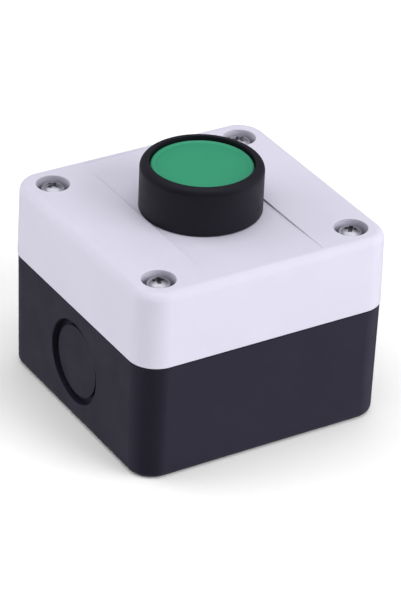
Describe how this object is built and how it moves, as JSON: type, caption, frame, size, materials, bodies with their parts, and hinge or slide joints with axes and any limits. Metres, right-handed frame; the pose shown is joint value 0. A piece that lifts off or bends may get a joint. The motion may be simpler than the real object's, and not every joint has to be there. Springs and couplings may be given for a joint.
{
  "type": "push button control station",
  "caption": "Surface-mounted control station: plastic box with a flush spring-return push button in its cover and a contact block behind it.",
  "frame": {"origin": "centre of the plane that the four feet of the base stand on", "axes": "+Z points out of the button, along its travel; the two cable knockouts face -Y and +Y; +X faces the plain side by the contact block"},
  "size_m": [0.068, 0.0698, 0.0633],
  "materials": {
    "white_plastic": "fine moulded texture",
    "black_plastic": "fine moulded texture",
    "head_plastic": "satin",
    "green_plastic": "satin",
    "grey_plastic": "satin",
    "yellow_plastic": "satin",
    "seal_rubber": "matt",
    "steel": "zinc plated",
    "brass": "bright",
    "silver": "bright silver alloy"
  },
  "bodies": {
    "enclosure": {"base_housing": "black_plastic", "cover": "white_plastic", "cover_gasket": "seal_rubber", "cover_screw_1": "steel", "cover_screw_2": "steel", "cover_screw_3": "steel", "cover_screw_4": "steel", "head_body": "head_plastic", "head_gasket": "seal_rubber", "stem_seal": "seal_rubber", "spring_seat": "steel", "return_spring": "steel", "lock_washer": "steel", "panel_nut": "head_plastic", "mounting_collar": "grey_plastic", "block_housing": "black_plastic", "block_side_cover": "black_plastic", "carrier_spring": "steel", "fixed_contact_1": "brass", "fixed_contact_2": "brass", "fixed_tip_1": "silver", "fixed_tip_2": "silver"},
    "button": {"button_cap": "green_plastic", "button_stem": "grey_plastic"},
    "carrier": {"contact_carrier": "green_plastic", "bridge_spring": "steel"},
    "bridge": {"contact_bridge": "brass", "bridge_tip_1": "silver", "bridge_tip_2": "silver"},
    "latch": {"collar_latch": "yellow_plastic"},
    "clamp_1": {"terminal_clamp_1": "steel"},
    "clamp_2": {"terminal_clamp_2": "steel"},
    "screw_1": {"terminal_screw_1": "steel"},
    "screw_2": {"terminal_screw_2": "steel"}
  },
  "joints": [
    {"name": "button_press", "type": "slide", "parent": "enclosure", "child": "button", "axis": [0, 0, -1], "range_m": [0, 0.0043], "stiffness_N_per_m": 400, "springref_m": -0.006, "deforming": ["return_spring", "carrier_spring", "bridge_spring"]},
    {"name": "carrier_slide", "type": "slide", "parent": "enclosure", "child": "carrier", "axis": [0, 0, -1], "range_m": [0, 0.0043]},
    {"name": "bridge_slide", "type": "slide", "parent": "enclosure", "child": "bridge", "axis": [0, 0, -1], "range_m": [0, 0.0021]},
    {"name": "latch_turn", "type": "hinge", "parent": "enclosure", "child": "latch", "pos_m": [0, 0, 0.0374], "axis": [0, 0, 1], "range_deg": [0, 35]},
    {"name": "terminal_1_clamp", "type": "slide", "parent": "enclosure", "child": "clamp_1", "axis": [0, 0, -1], "range_m": [0, 0.0017]},
    {"name": "terminal_1_screw", "type": "hinge", "parent": "clamp_1", "child": "screw_1", "pos_m": [0.0054, -0.0139, 0.0107], "axis": [0, 0, -1], "range_deg": [0, 1225]},
    {"name": "terminal_2_clamp", "type": "slide", "parent": "enclosure", "child": "clamp_2", "axis": [0, 0, -1], "range_m": [0, 0.0017]},
    {"name": "terminal_2_screw", "type": "hinge", "parent": "clamp_2", "child": "screw_2", "pos_m": [0.0054, 0.0139, 0.0107], "axis": [0, 0, -1], "range_deg": [0, 1225]}
  ],
  "couplings": [
    {"joint": "carrier_slide", "follows": "button_press", "ratio": 1},
    {"joint": "bridge_slide", "follows": "button_press", "ratio": 0.48},
    {"joint": "terminal_1_screw", "follows": "terminal_1_clamp", "rad_per_m": 12566},
    {"joint": "terminal_2_screw", "follows": "terminal_2_clamp", "rad_per_m": 12566}
  ]
}
